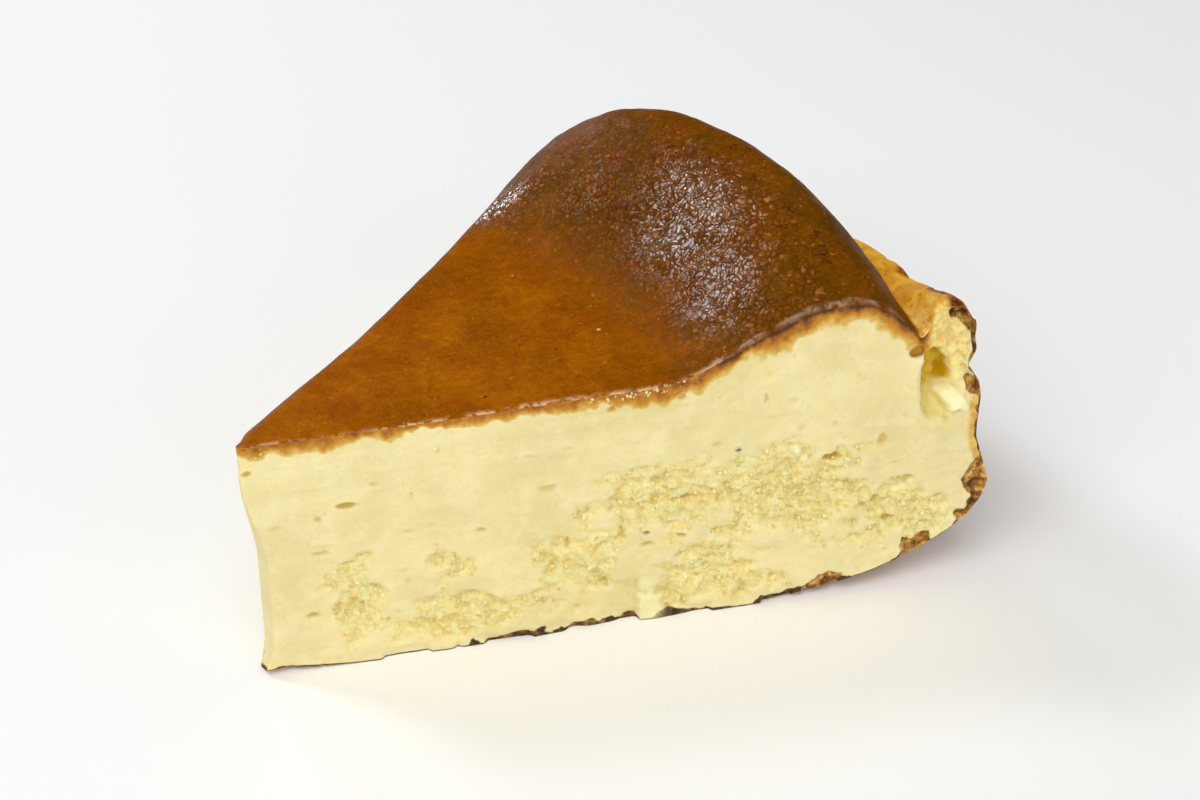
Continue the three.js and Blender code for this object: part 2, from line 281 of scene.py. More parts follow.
def foot_at(t):
    """The rounded foot, a cubic curve from the flat underside to the widest place of the side."""
    ends = ((FOOT_RADIUS, 0), *FOOT_HANDLES, (BELLY_RADIUS, BELLY_HEIGHT))
    weights = ((1 - t) ** 3, 3 * t * (1 - t) ** 2, 3 * t * t * (1 - t), t ** 3)
    return [sum(w * end[axis] for w, end in zip(weights, ends)) for axis in (0, 1)]


def tip_radius(height):
    return TIP_BLUNT + TIP_WEAR * smooth(-3, 6, height) * (1 - smooth(18, 32, height))


def underside_at(share):
    foot = foot_at(np.clip(FOOT_SPLIT * (share - FLAT_SHARE) / (1 - FLAT_SHARE), 0, 1))
    flat = share <= FLAT_SHARE
    radius = np.where(flat, lerp(tip_radius(TIP_LIFT), FOOT_RADIUS, share / FLAT_SHARE), foot[0])
    return radius, np.where(flat, TIP_LIFT * (1 - smooth(0, 0.12, share)), foot[1])


def tip_at(share):
    height = lerp(TIP_LIFT, top_height(0, 0.5), share)
    return tip_radius(height), height


def top_at(share, turn):
    return lerp(tip_radius(TIP_HEIGHT), EDGE_RADIUS, share), top_height(share, turn)


def side_at(share, turn):
    foot_share = 0.2
    foot = foot_at(np.clip(lerp(FOOT_SPLIT, 1, share / foot_share), 0, 1))
    climb = np.clip((share - foot_share) / (1 - foot_share), 0, 1)
    low = share <= foot_share
    radius = np.where(low, foot[0], lerp(BELLY_RADIUS, EDGE_RADIUS, climb))
    return radius, np.where(low, foot[1], lerp(BELLY_HEIGHT, top_height(1, turn), climb))


def section_at(out, up, turn):
    """Radius and height of a point of a radial section, blended between its four outlines."""
    nothing = np.zeros_like(out)
    parts = (
        (underside_at(out), 1 - up), (top_at(out, turn), up),
        (tip_at(up), 1 - out), (side_at(up, turn), out),
        (tip_at(nothing), -(1 - out) * (1 - up)), (tip_at(nothing + 1), -(1 - out) * up),
        (side_at(nothing, turn), -out * (1 - up)), (side_at(nothing + 1, turn), -out * up),
    )
    return [sum(point[axis] * weight for point, weight in parts) for axis in (0, 1)]


PLEAT_INDEX = np.arange(PLEAT_COUNT)
PLEAT_TURNS = np.round(
    PLEAT_STEPS * (PLEAT_INDEX + 0.3 + 0.5 * chance(PLEAT_INDEX, 0, 0, 11)) / PLEAT_COUNT
) / PLEAT_STEPS
PLEAT_DEPTHS = 1.6 + 2.6 * chance(PLEAT_INDEX, 2, 0, 11)
PLEAT_WIDTHS = 0.025 + 0.02 * chance(PLEAT_INDEX, 3, 0, 11)


def pleat_depth(turn, height):
    """How far the creases that the lining paper pressed into the side go in."""
    depth = 0
    for place, deep, width in zip(PLEAT_TURNS, PLEAT_DEPTHS, PLEAT_WIDTHS):
        depth = depth + deep * smooth(3, 16, height) * np.exp(-1.5 * np.abs(turn - place) / width)
    return depth * lerp(1, 0.3, smooth(24, 40, height))


def pleat_relief(turn, height):
    lower_half = lerp(8, 3.5, smooth(0.02, 0.15, turn))
    folds = 1.3 * bell(height, 35 + 4 * turn, 3) + 1.2 * bell(height, 23 - 6 * turn, lower_half)
    swell = 0.7 * noise(turn * 14, height / 7, 0, 21)
    return 0.5 - pleat_depth(turn, height) - folds * (0.4 + 0.6 * bell(turn, 0, 0.2)) + swell


def pleat_wander(turn, height):
    return 0.05 * noise(turn * 3.5, height / 15, 0, 22) * (1 - (2 * turn - 1) ** 4)


def pocket_share(along, height):
    """1 inside the open pocket between the cake and its lip, 0 outside."""
    middle = POCKET_MIDDLE[0] + POCKET_LEAN * (POCKET_PIVOT - height)
    across, up = (along - middle) / POCKET_HALF[0], (height - POCKET_MIDDLE[1]) / POCKET_HALF[1]
    return smooth(0, 0.8, 1 - np.hypot(across, up))


def cut_relief(is_near, along, height):
    side = 0 if is_near else 50
    coarse = noise(along / 5, height / 4, side, 31)
    middling = noise(along / 2.6, height / 2.2, side, 32)
    torn = smooth(-0.25, 0.35, noise(along / 17, height / 11, side, 33) + 0.5 - height / 36)
    depth = 0.25 + (0.30 * coarse + 0.22 * middling) * (0.25 + 0.75 * torn)
    if not is_near:
        return depth - FAR_BOW * bell(along, 6, 28)
    ragged = 0.8 + 0.7 * noise(along / 3, height / 3, 3, 34)
    depth = depth + POCKET_DEPTH * pocket_share(along, height)
    return depth + ragged * bell(along, 97, 4.5) * smooth(27, 31, height)


def top_relief(x, y):
    away = np.hypot(x, y) / RIM_RADIUS
    blisters = 0.3 * noise(x / 5.5, y / 5.5, 0, 41) + 0.2 * noise(x / 2.8, y / 2.8, 0, 42)
    return blisters * lerp(0.3, 1, smooth(0.5, 0.7, away))


# ==== finer relief and its marks
def outline_gap(corners, along, height):
    """Distance to a closed outline, below 0 inside it."""
    gap = np.full(along.shape, np.inf)
    inside = np.zeros(along.shape, bool)
    for (a0, h0), (a1, h1) in zip(corners, corners[1:] + corners[:1]):
        da, dh = a1 - a0, h1 - h0
        share = np.clip(((along - a0) * da + (height - h0) * dh) / (da * da + dh * dh), 0, 1)
        gap = np.minimum(gap, np.hypot(along - a0 - share * da, height - h0 - share * dh))
        crossing = (h0 > height) != (h1 > height)
        inside ^= crossing & (along < a0 + da * (height - h0) / (dh if dh else 1))
    return np.where(inside, -gap, gap)


def nearest_gap(outlines, along, height):
    return np.min([outline_gap(corners, along, height) for corners in outlines], axis=0)


def torn_share(is_near, along, height):
    """1 where the cut tore the curd, 0 where the knife left it smooth."""
    if is_near:
        places = np.max([
            bell(np.hypot((along - a) / long, (height - h) / tall), 0, 1.3)
            for a, h, long, tall in TORN_PLACES
        ], axis=0)
    else:
        places = 0.75 * smooth(30, 8, height) * smooth(-0.5, 0.5, noise(along / 13, height / 9, 7, 51))
    edge = 0.35 * noise(along / 3.2, height / 2.2, 0, 52) + 0.25 * noise(along / 1.3, height / 1.1, 0, 53)
    return smooth(0.25, 0.7, places + edge)


def torn_depth(along, height):
    """How deep torn curd lies: steps where pieces came off, and rounded curds with crevices between."""
    warp = 0.7 * noise(along / 1.7, height / 1.7, 0, 54)
    flake = smooth(-0.08, 0.08, noise(along / 2.6, (height + warp) / 2.2, 0, 55))
    chip = smooth(-0.12, 0.12, noise((along + warp) / 1.3, height / 1.1, 0, 56))
    curds = 0.16 * lumps(along + warp, height, 1.9, 57) + 0.26 * lumps(along, height + warp, 0.9, 58)
    return 0.36 * flake + 0.3 * chip + curds + 0.24 * noise(along / 0.6, height / 0.6, 0, 59)


def scattered_pores():
    """Faint pores spread by chance over both cuts, in the form of PORES."""
    rng = np.random.default_rng(4)
    along, height, half, flat, strength = [rng.uniform(*ends, SMALL_PORES) for ends in SMALL_PORE_ENDS]
    return list(zip(along, height, half, half * flat + 0.12, strength))


def pore_share(is_near, along, height):
    """How much of a pore each place of a cut is, up to each pore's strength."""
    wobble = 0.25 * noise(along / 0.9, height / 0.9, 0, 61)
    pores = scattered_pores()
    if is_near:
        pores = [*pores, *PORES]
    else:
        pores = [(92 - centre, *rest) for centre, *rest in pores]
    found = np.zeros_like(along)
    for centre, level, long, tall, strength in pores:
        gap = np.hypot((along - centre) / long, (height - level) / tall) + wobble
        found = np.maximum(found, strength * (1 - smooth(0.55, 1.15, gap)))
    return found


def near_marks(along, height):
    """Shares of the pocket, the pale broken bits, the crust and the specks at each place of the near cut."""
    ragged = 0.35 * noise(along / 0.9, height / 0.9, 0, 62)
    hole = np.hypot(along - OPEN_HOLE[0], height - OPEN_HOLE[1]) / OPEN_HOLE[2]
    specks = np.min([np.hypot(along - a, height - h) for a, h in CURD_SPECKS], axis=0)
    return {
        "pocket": smooth(0.3, -0.3, outline_gap(POCKET_OUTLINE, along, height) + ragged),
        "hole": smooth(1.5, 0.3, hole + ragged),
        "bright": smooth(0.3, -0.3, nearest_gap(BRIGHT_OUTLINES, along, height) + ragged),
        "crust": smooth(0.3, -0.35, nearest_gap(CRUST_OUTLINES, along, height) + ragged),
        "speck": smooth(0.42, 0.2, specks),
    }


def near_depth(along, height, marks):
    """Depth of the near cut's own hollows and broken pieces."""
    ledge = smooth(LEDGE_END + 0.3, LEDGE_END - 0.3, along) * smooth(LEDGE_START, LEDGE_END, along)
    lumpy = lumps(along, height, 1.6, 63) + 0.5 * lumps(along, height, 0.8, 64)
    fin = smooth(*FIN_START, along) * smooth(25, 28, height)
    depth = LEDGE_DEPTH * ledge * smooth(*LEDGE_TOP, height) + 0.5 * lumpy * fin
    depth = depth + POCKET_FLOOR * marks["pocket"] + HOLE_DEPTH * marks["hole"]
    return depth - BRIGHT_RISE * marks["bright"] + (0.2 + 0.4 * lumpy) * marks["crust"]


def cut_depth(along, height, torn, pores):
    """Depth of the fine relief that both cuts have, behind the smooth form."""
    drag = 0.06 * noise(along / 9, height / 0.7, 0, 65) + 0.08 * noise(along / 2.2, height / 1.3, 0, 66)
    nibbled = smooth(1.6, 0.2, height) * smooth(0.1, 0.5, noise(along / 2.3, 0, 3, 67))
    return torn_depth(along, height) * torn + drag * (1 - torn) + 0.6 * pores + 0.6 * nibbled


def edge_bead(along, near_gap):
    """The skin's thick edge, which curls up along the near cut over the swollen ring."""
    rolled = smooth(*ROLLED_START, along) * smooth(*ROLLED_END, along)
    uneven = 0.7 + 0.4 * noise(along / 3, 0, 0, 68) + 0.4 * noise(along / 0.9, near_gap / 0.5, 0, 69)
    return ROLLED_HEIGHT * rolled * uneven * fade(near_gap - 0.5, 0.3)


def fine_top_relief(x, y, on_hump):
    blisters = 0.07 * noise(x / 1.5, y / 1.5, 0, 71) + 0.05 * noise(x / 0.9, y / 0.9, 0, 72)
    return blisters * on_hump + 0.05 * noise(x / 3, y / 3, 0, 73)


def fine_side_relief(turn, height):
    wrinkles = noise(turn * 60, height / 9, 0, 74) * 0.28 + noise(turn * 95, height / 3, 0, 75) * 0.14
    return wrinkles - 0.25 * np.exp(-4 * np.abs(noise(turn * 18, height / 12, 0, 76)))


# ==== the fine wedge
def smooth_spots(out, turn, up):
    """Where each vertex lies before its cuts are roughened, in millimetres.

    along is the distance from the cake's centre and inward the depth behind the side. below and above
    are the depth under the skin and the height over the underside. The gaps lead to the two cuts.
    """
    radius, height = section_at(out, up, turn)
    inward = np.maximum(side_at(up, turn)[0] - radius, 0)
    near_side = fade(inward, 7) * smooth(0.7, 0.95, out)
    angle = (turn + pleat_wander(turn, height) * near_side - 0.5) * WEDGE
    along = radius + pleat_relief(turn, height) * near_side
    along = along + fine_side_relief(turn, height) * fade(inward, 1.5) * smooth(0.93, 1, out)
    return SimpleNamespace(
        out=out, turn=turn, up=up, angle=angle, along=along, height=height, inward=inward,
        below=top_height(out, turn) - height,
        above=height - underside_at(out)[1],
        near_gap=along * np.sin(np.clip(angle + WEDGE / 2, 0, 1)),
        far_gap=along * np.sin(np.clip(WEDGE / 2 - angle, 0, 1)),
    )


def skin_rise(spots, x, y):
    """How far the blisters and the edges of the skin rise over the smooth form."""
    edge = np.exp(-np.minimum(spots.near_gap, spots.far_gap) / 0.3)
    fine = fine_top_relief(x, y, smooth(0.52, 0.66, spots.out)) * (1 - edge) - EDGE_WEAR * edge
    fine = fine + edge_bead(spots.along, spots.near_gap)
    broad = TOP_SWELL * top_relief(x, y)
    return (
        broad * fade(spots.below, 3) * smooth(0, 0.03, spots.out)
        + fine * fade(spots.below, 0.9) * smooth(0, 0.02, spots.out)
    )


def roughened(is_near, spots, marks):
    """Depth of all the relief of one cut, and how torn, porous and hollow each place of it is."""
    along, height = spots.along, spots.height
    gap = spots.near_gap if is_near else spots.far_gap
    torn = torn_share(is_near, along, height)
    pores = pore_share(is_near, along, height)
    fine = cut_depth(along, height, torn, pores)
    if is_near:
        torn = torn * (1 - marks["pocket"])
        fine = fine + near_depth(along, height, marks) * smooth(0, 0.8, spots.inward)
    coarse = cut_relief(is_near, along, height) * fade(gap, 2.5) * smooth(0, 1.2, height)
    depth = coarse + fine * fade(gap, 1.2) * smooth(0.15, 0.6, spots.below)
    shares = {"torn": torn, "pore": pores, "depth": torn_depth(along, height) * torn}
    close = fade(gap, 0.5)
    return depth * smooth(0, 0.04, spots.out), {name: share * close for name, share in shares.items()}


def fine_slice(out, turn, up):
    """Points of the fine wedge in millimetres, where each lies in the smooth one, and its marks."""
    spots = smooth_spots(out, turn, up)
    x = spots.along * np.cos(spots.angle)
    y = spots.along * np.sin(spots.angle)
    x = x - 0.1 * (1 - (2 * turn - 1) ** 2) * spots.along * fade(spots.along, 4)
    z = spots.height + skin_rise(spots, x, y)
    near = near_marks(spots.along, spots.height)
    marks = {name: share * fade(spots.near_gap, 1.2) for name, share in near.items()}
    for is_near in (True, False):
        depth, shares = roughened(is_near, spots, marks)
        x = x + depth * math.sin(WEDGE / 2)
        y = y + depth * math.cos(WEDGE / 2) * (1 if is_near else -1)
        for name, share in shares.items():
            marks[name] = np.maximum(marks.get(name, 0), share)
    return np.stack([x, y, np.maximum(z, 0)], axis=1), spots, marks


def crust_line(spots):
    """1 in the dark crust that shows as a line round the foot and up the wall of both cuts."""
    along, height = spots.along, spots.height
    flecks = 0.9 * noise(along / 1.4, height / 1.4, 0, 81) + 0.4 * noise(along / 0.6, height / 0.6, 0, 82)
    broken = np.maximum(0.15, 1 + flecks)
    foot = spots.above / (between(FOOT_CRUST, along) * broken)
    wall = spots.inward / (between(WALL_CRUST, height) * broken)
    return 1 - smooth(0.5, 1.1, np.minimum(foot, wall))


def edge_highlight(along, near_gap):
    """A painted highlight: the pale line that runs along the skin's edge at the near cut, broken in places.
    """
    width = between(HIGHLIGHT_WIDTH, along) * (1 + 0.4 * noise(along / 1.7, 0, 0, 83))
    middle = 0.4 * smooth(*HIGHLIGHT_GREYS, along) * (1 + 0.6 * noise(along / 2.2, 0, 0, 84))
    flecks = noise(along / 1.9, near_gap / 0.7, 0, 85) + 0.8 * noise(along / 0.6, near_gap / 0.35, 0, 86)
    return between(HIGHLIGHT_LINE, along) * smooth(-0.8, 0.2, flecks) * fade(near_gap - middle, width)


def brown_share(spots, ragged):
    """How browned the curd is: most right under the skin, less down its band, and stained by the hole."""
    along, height = spots.along, spots.height
    on_lip = smooth(0.925, 0.945, spots.out)
    on_ring = smooth(*BAND_DARKENS, along)
    patchy = 1 + 0.35 * noise(along / 4, 0, 0, 88) + 0.3 * noise(along / 1.6, height / 2, 0, 90)
    band = between(BROWN_BAND, along) * patchy - 2.5 * on_lip
    under = np.clip((spots.below + ragged) / np.maximum(band, 0.4), 0, 1)
    darkness = lerp(0.7, 1, on_ring) * (1 - 0.8 * on_lip)
    from_stain = np.hypot((along - STAIN[0]) / STAIN[2], (height - STAIN[1]) / STAIN[3])
    stain = 0.5 * bell(from_stain + ragged, 0, 1)
    return np.maximum((1 - under ** lerp(2.4, 1, on_ring)) * darkness, stain)


def gloss_share(out, turn):
    """How wet each place of the skin looks."""
    return lerp(LEAST_GLOSS, 1, np.max([
        strength * fade(np.hypot((out - o) * RIM_RADIUS, (turn - t) * RING_LENGTH), reach)
        for o, t, reach, strength in GLOSSY_PLACES
    ], axis=0))


def curd_marks(spots, marks):
    along, height, near_gap = spots.along, spots.height, spots.near_gap
    ragged = 0.3 * noise(along / 1.1, height / 3, 0, 86) + 0.2 * noise(along / 0.5, height / 0.8, 0, 87)
    fleshy = smooth(*FIN_START, along) * smooth(*FIN_END, along) * smooth(30, 34, height)
    broken = smooth(LEDGE_END, LEDGE_END + 0.3, along) * smooth(LEDGE_END + 5, LEDGE_END + 1, along)
    broken = broken * smooth(*LEDGE_TOP, height) * fade(near_gap, 1)
    golden = smooth(*GOLDEN_START, height) * smooth(*GOLDEN_END, height)
    return {
        **marks,
        "browned": brown_share(spots, ragged),
        "rind": crust_line(spots),
        "gilt": golden * (1 - smooth(0.7, 1.3, spots.inward / (1.5 + ragged))),
        "pocket_foot": smooth(31.2, 29.6, height),
        "bright": np.maximum(marks["bright"], 0.5 * broken),
        "fleshy": fleshy * fade(near_gap, 1.5) * (1 - marks["pocket"]),
    }


def skin_marks(spots):
    out, turn = spots.out, spots.turn
    past_crest = 0.016 * (1 - smooth(0.05, 0.2, turn)) + 0.014 * noise(turn * 22, 0, 0, 89)
    return {
        "toast": smooth(0.5, 0.7, out),
        "blister": smooth(0.56, 0.68, out) * (1 - 0.85 * smooth(0.77, 0.84, out)),
        "gloss": gloss_share(out, turn),
        "lip": smooth(0.915, 0.93, out),
        "outer": smooth(0.976, 0.988, out + past_crest),
        "lip_pale": 1 - smooth(0.0, 0.11, turn),
        # The next two marks: the painted highlight along the near cut's edge, and where it turns grey.
        "edge": edge_highlight(spots.along, spots.near_gap),
        "edge_highlight_grey": smooth(*HIGHLIGHT_GREYS, spots.along),
        "far_edge": smooth(0.03, 0.1, out) * fade(spots.far_gap, 0.3),
    }


def colour_marks(spots, marks):
    """Numbers from 0 to 1 for each vertex, which the materials turn into colour."""
    crease = np.clip(pleat_depth(spots.turn, spots.height) / 3.2, 0, 1)
    return {**curd_marks(spots, marks), **skin_marks(spots), "crease": crease}


# ==== the fine mesh
def closing(share):
    """Steps that draw closer towards the rim and the top."""
    return share + 0.13 * share * np.sin(np.pi * share)


def spread(share):
    """Steps across the wedge, closer at both cuts."""
    return share - 0.45 * np.sin(2 * np.pi * share) / (2 * np.pi)


def steps(count, rule):
    return rule(np.linspace(0, 1, count + 1))


def ups(turn):
    return steps(UP_NEAR if turn == 0 else UP_FAR, closing)


def under_count(out):
    """How many steps there are across the underside at a share of the way out."""
    if out <= FLAT_SHARE:
        return TIP_ACROSS
    return ACROSS if out == 1 else round(UNDER_ACROSS * out)


def stitch(first, second):
    """Triangles between two rows of vertices, which may hold different numbers of them."""
    made = []
    i = j = 0
    while i < len(first) - 1 or j < len(second) - 1:
        step_first = (i + 1) / (len(first) - 1)
        step_second = (j + 1) / (len(second) - 1)
        if j == len(second) - 1 or (i < len(first) - 1 and step_first <= step_second):
            made.append((first[i], first[i + 1], second[j]))
            i += 1
        else:
            made.append((first[i], second[j + 1], second[j]))
            j += 1
    return made


def sheet(rows, outward):
    triangles = [t for pair in zip(rows, rows[1:]) for t in stitch(*pair)]
    return triangles if outward else [(a, c, b) for a, b, c in triangles]


def slice_grid():
    """The three shares (out, turn, up) of every vertex, and the triangles of each material."""
    index = {}

    def at(*shares):
        return index.setdefault(tuple(round(float(share), 6) for share in shares), len(index))

    outs = steps(ALONG, closing)
    turns = steps(ACROSS, spread)
    top = [[at(o, t, 1) for t in steps(max(TIP_ACROSS, round(ACROSS * o)), spread)] for o in outs]
    under = [[at(o, t, 0) for t in steps(under_count(o), spread)] for o in outs]
    side = [[at(1, t, u) for u in ups(t)] for t in turns]
    tip = [[at(0, t, u) for u in ups(t)] for t in steps(TIP_ACROSS, spread)]
    near = [[at(o, 0, u) for o in outs] for u in ups(0)]
    far = [[at(o, 1, u) for o in outs] for u in ups(1)]
    skin = sheet(top, False)
    curd = sheet(near, True) + sheet(far, False) + sheet(tip, True)
    papered = sheet(side, False) + sheet(under, True)
    return np.array(list(index)), (skin, curd, papered)


def mesh_piece(name, points, groups, materials, marks=None):
    """A smooth-shaded mesh with its points in metres and a material for each group of faces."""
    mesh = bpy.data.meshes.new(name)
    mesh.from_pydata(points, [], [face for group in groups for face in group])
    for material in materials:
        mesh.materials.append(material)
    numbers = [number for number, group in enumerate(groups) for _ in group]
    mesh.polygons.foreach_set("material_index", numbers)
    mesh.polygons.foreach_set("use_smooth", [True] * len(numbers))
    for mark, values in (marks or {}).items():
        attribute = mesh.attributes.new(mark, "FLOAT", "POINT")
        attribute.data.foreach_set("value", np.asarray(values, np.float32))
    mesh.update()
    piece = bpy.data.objects.new(name, mesh)
    bpy.context.scene.collection.objects.link(piece)
    return piece


# ==== loose crumbs
def crumb_weights(spots, marks):
    """How likely a crumb is at each vertex: over the torn curd of each cut, and under the worn skin."""
    inside = (0.02 < spots.out) * (spots.out < 0.9) * (spots.up < 1)
    torn = marks["torn"] * (1 - 0.5 * np.clip(marks["depth"], 0, 1)) * inside
    worn = bell(spots.along, 53, 9) * smooth(1.6, 0.2, spots.below)
    near = spots.turn == 0
    return torn * near, torn * (spots.turn == 1), worn * near


def crumb_spots(place, spots, marks, rng):
    """Where the loose crumbs stick, which way each one faces, and its scale."""
    chosen = [
        rng.choice(len(place), count, replace=False, p=weight / weight.sum())
        for weight, count in zip(crumb_weights(spots, marks), CRUMB_COUNTS)
    ]
    side = np.repeat(CRUMB_SIDES, CRUMB_COUNTS)
    away = np.stack([np.full(side.shape, -math.sin(WEDGE / 2)), side * math.cos(WEDGE / 2), 0 * side], axis=1)
    return place[np.concatenate(chosen)], away, np.repeat(CRUMB_SCALES, CRUMB_COUNTS)


def unit_ball():
    """Corners and triangles of a ball whose radius is 1."""
    ball = bmesh.new()
    bmesh.ops.create_icosphere(ball, subdivisions=2, radius=1)
    corners = np.array([v.co[:] for v in ball.verts])
    faces = np.array([[v.index for v in face.verts] for face in ball.faces])
    ball.free()
    return corners, faces


def make_crumbs(place, spots, marks, material):
    """Small broken curds half sunk in the cuts, each one its own shape."""
    rng = np.random.default_rng(7)
    corners, ball_faces = unit_ball()
    points, faces = [], []
    for spot, away, scale in zip(*crumb_spots(place, spots, marks, rng)):
        radius = scale * lerp(*CRUMB_RADII, rng.uniform() ** 1.7)
        shape = corners * rng.uniform(0.85, 1.15, (len(corners), 1)) * rng.uniform(0.6, 1.3, 3)
        turned = shape @ np.array(Quaternion(rng.normal(size=4)).normalized().to_matrix())
        faces.append(ball_faces + len(points) * len(corners))
        points.append(spot + away * radius * CRUMB_STAND + turned * radius)
    points = np.concatenate(points)
    points[:, 2] = np.maximum(points[:, 2], 0.02)
    marks = {name: np.ones(len(points)) for name in ("torn", "loose")}
    return mesh_piece("curd_crumbs", (points * MM).tolist(), [np.concatenate(faces)], [material], marks)


# ==== materials
def colour(red, green, blue):
    """A screen colour, 0 to 255, as the light that a shader works in."""
    def light(value):
        share = value / 255
        return share / 12.92 if share <= 0.04045 else ((share + 0.055) / 1.055) ** 2.4

    return (light(red), light(green), light(blue), 1)


class Shader:
    """A material's nodes, built by short calls that give back sockets. Sizes are in millimetres."""

    def __init__(self, name):
        self.material = bpy.data.materials.new(name)
        self.material.use_nodes = True
        self.nodes = self.material.node_tree.nodes
        self.links = self.material.node_tree.links
        self.surface = self.nodes["Principled BSDF"]
        self.place = self.nodes.new("ShaderNodeTexCoord").outputs["Object"]

    def feed(self, socket, value):
        """Gives a socket its value: another socket, a mark's name, or plain numbers."""
        if isinstance(value, str):
            value = self.add("Attribute", {}, attribute_name=value)["Fac"]
        if isinstance(value, bpy.types.NodeSocket):
            self.links.new(value, socket)
        else:
            socket.default_value = value

    def add(self, kind, inputs, **settings):
        """The outputs of a new node with these settings and inputs."""
        node = self.nodes.new("ShaderNode" + kind)
        for name, value in settings.items():
            setattr(node, name, value)
        for name, value in inputs.items():
            self.feed(node.inputs[name], value)
        return node.outputs

    def math(self, operation, a, b=0.0):
        return self.add("Math", {0: a, 1: b}, operation=operation)[0]

    def vector(self, operation, a, b, output="Vector"):
        return self.add("VectorMath", {0: a, 1: b}, operation=operation)[output]

    def times(self, product, *others):
        for other in others:
            product = self.math("MULTIPLY", product, other)
        return product

    def add_swing(self, value, texture, weight):
        """The value, moved by a texture up to half the weight each way."""
        return self.math("ADD", value, self.times(self.math("SUBTRACT", texture, 0.5), weight))

    def ease(self, value, start, stop, low=0.0, high=1.0):
        """low before start, high after stop, and a smooth change between."""
        numbers = dict(enumerate((value, start, stop, low, high)))
        return self.add("MapRange", numbers, interpolation_type="SMOOTHSTEP")[0]

    def mix(self, share, *tints):
        """Between two tints, each of them a socket or a screen colour (red, green, blue)."""
        a, b = [colour(*tint) if isinstance(tint, tuple) else tint for tint in tints]
        return self.add("Mix", {"Factor": share, 6: a, 7: b}, data_type="RGBA")[2]

    def cover(self, tint, over, value, start, stop, most=1.0):
        """The tint, covered by another as the value goes from start to stop."""
        return self.mix(self.ease(value, start, stop, 0.0, most), tint, over)

    def ramp(self, value, *stops):
        """The screen colours at each stop, (position, (red, green, blue)), and those between."""
        tints = self.add("ValToRGB", {"Fac": value})["Color"]
        elements = tints.node.color_ramp.elements
        while len(elements) < len(stops):
            elements.new(0.5)
        for element, (position, tint) in zip(elements, stops):
            element.position = position
            element.color = colour(*tint)
        return tints

    def clouds(self, size, detail, roughness, place):
        inputs = {"Vector": place, "Scale": 1 / (size * MM), "Detail": detail, "Roughness": roughness}
        return self.add("TexNoise", inputs)

    def noise(self, size, detail=3.0, roughness=0.5, place=None):
        """Cloudy noise from 0 to 1 whose lumps are about `size` wide."""
        return self.clouds(size, detail, roughness, place or self.place)[0]

    def voronoi(self, size, place=None, feature="F1"):
        """The outputs of a pattern of cells about `size` wide."""
        inputs = {"Vector": place or self.place, "Scale": 1 / (size * MM)}
        return self.add("TexVoronoi", inputs, feature=feature)

    def cells(self, size, place=None, feature="F1"):
        """Distance within the cells, as a share of their size."""
        return self.voronoi(size, place, feature)["Distance"]

    def facets(self, size, tilt, place):
        """Relief of flat facets about `size` wide, each leaning its own way."""
        cell = self.voronoi(size, place)
        from_middle = self.vector("SUBTRACT", place, cell["Position"])
        lean = self.vector("SUBTRACT", cell["Color"], (0.5, 0.5, 0.5))
        return self.times(self.vector("DOT_PRODUCT", from_middle, lean, "Value"), tilt / MM)

    def moved(self, distance):
        """The place, moved so that a texture doesn't repeat another."""
        return self.vector("ADD", self.place, (distance * MM, distance * MM, 0))

    def wavering(self, size, reach):
        """The place, pushed about by up to `reach`."""
        cloudy = self.clouds(size, 2.0, 0.5, self.place)["Color"]
        push = self.vector("SUBTRACT", cloudy, (0.5, 0.5, 0.5))
        return self.vector("ADD", self.place, self.vector("MULTIPLY", push, (2 * reach * MM,) * 3))

    def bump(self, height, depth, strength=1.0, under=None):
        """Relief `depth` deep over the relief `under`."""
        inputs = {"Distance": depth * MM, "Strength": strength, "Height": height}
        return self.add("Bump", inputs if under is None else {**inputs, "Normal": under})[0]

    def finish(self, **inputs):
        for name, value in inputs.items():
            self.feed(self.surface.inputs[name.replace("_", " ")], value)
        return self.material


def toasted_tint(skin):
    """Amber in the sunken middle and brown on the ring, with rust, flecks, spots and fine dark cracks."""
    tone = skin.math("ADD", skin.times("toast", 0.28), 0.35)
    tone = skin.add_swing(tone, skin.noise(17, 2), 0.36)
    tone = skin.add_swing(tone, skin.noise(4.5, 4, 0.6), 0.34)
    tone = skin.add_swing(tone, skin.noise(1.3, 4, 0.7), 0.42)
    tone = skin.add_swing(tone, skin.noise(0.45, 2, 0.6), 0.3)
    tint = skin.ramp(
        tone, (0.05, (206, 132, 14)), (0.25, (168, 95, 3)), (0.42, (144, 77, 0)), (0.62, (106, 64, 0)),
        (0.85, (70, 40, 0)),
    )
    rusty = skin.times(skin.ease(skin.noise(8, 4, 0.6), 0.48, 0.66), skin.ease("toast", 0, 0.6, 0.25, 0.32))
    tint = skin.mix(rusty, tint, (142, 58, 0))
    tint = skin.cover(tint, (92, 36, 4), skin.noise(0.8, 2, 0.7), 0.64, 0.74, 0.6)
    tint = skin.cover(tint, (214, 150, 62), skin.noise(0.7, 2, 0.6, skin.moved(9)), 0.66, 0.74, 0.4)
    tint = skin.cover(tint, (76, 26, 8), skin.cells(7.5), 0.06, 0.035, 0.7)
    tint = skin.cover(tint, (238, 178, 128), skin.cells(9.5, skin.moved(4)), 0.04, 0.025, 0.8)
    ridge = skin.ease(skin.math("ABSOLUTE", skin.math("SUBTRACT", skin.noise(2.6, 2), 0.5)), 0.022, 0.008)
    cracked = skin.times(skin.ease(skin.noise(5.5, 2), 0.56, 0.64), skin.ease("toast", 0.6, 1, 0, 0.8))
    return skin.mix(skin.times(ridge, cracked), tint, (84, 18, 8))


